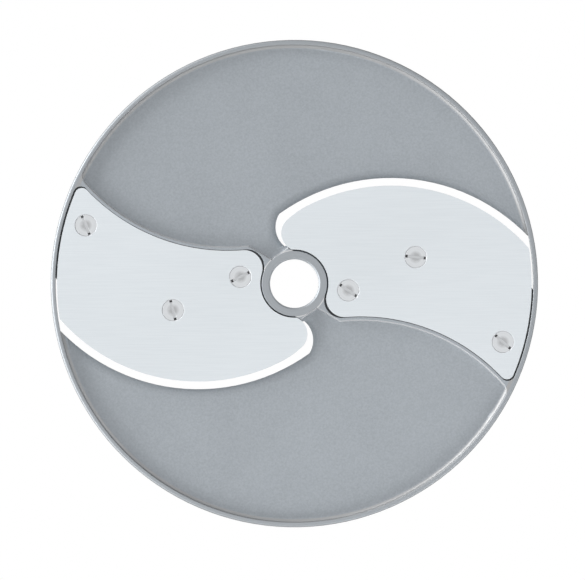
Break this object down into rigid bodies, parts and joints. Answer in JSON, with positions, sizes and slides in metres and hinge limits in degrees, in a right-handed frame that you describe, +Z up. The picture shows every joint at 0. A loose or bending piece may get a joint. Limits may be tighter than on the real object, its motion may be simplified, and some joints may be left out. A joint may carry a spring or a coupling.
{
  "type": "slicing disc",
  "caption": "Flat round slicing disc with a raised rim, a central bore and two curved blades screwed flush over open throats.",
  "frame": {"origin": "on the bore's axis, at the rest face under the skirt and hub", "axes": "+Z up along the bore's axis, out of the cutting side; +X and +Y in the disc's plane, +X towards the right blade"},
  "size_m": [0.19, 0.19, 0.014],
  "materials": {
    "cast_aluminium": "bead-blasted matte casting with a turned rim",
    "blade_steel": "pale satin stainless steel",
    "screw_steel": "turned stainless steel"
  },
  "bodies": {
    "root": {"disc_body": "cast_aluminium", "right_blade": "blade_steel", "left_blade": "blade_steel", "right_outer_screw": "screw_steel", "right_middle_screw": "screw_steel", "right_inner_screw": "screw_steel", "left_outer_screw": "screw_steel", "left_middle_screw": "screw_steel", "left_inner_screw": "screw_steel"}
  },
  "joints": []
}
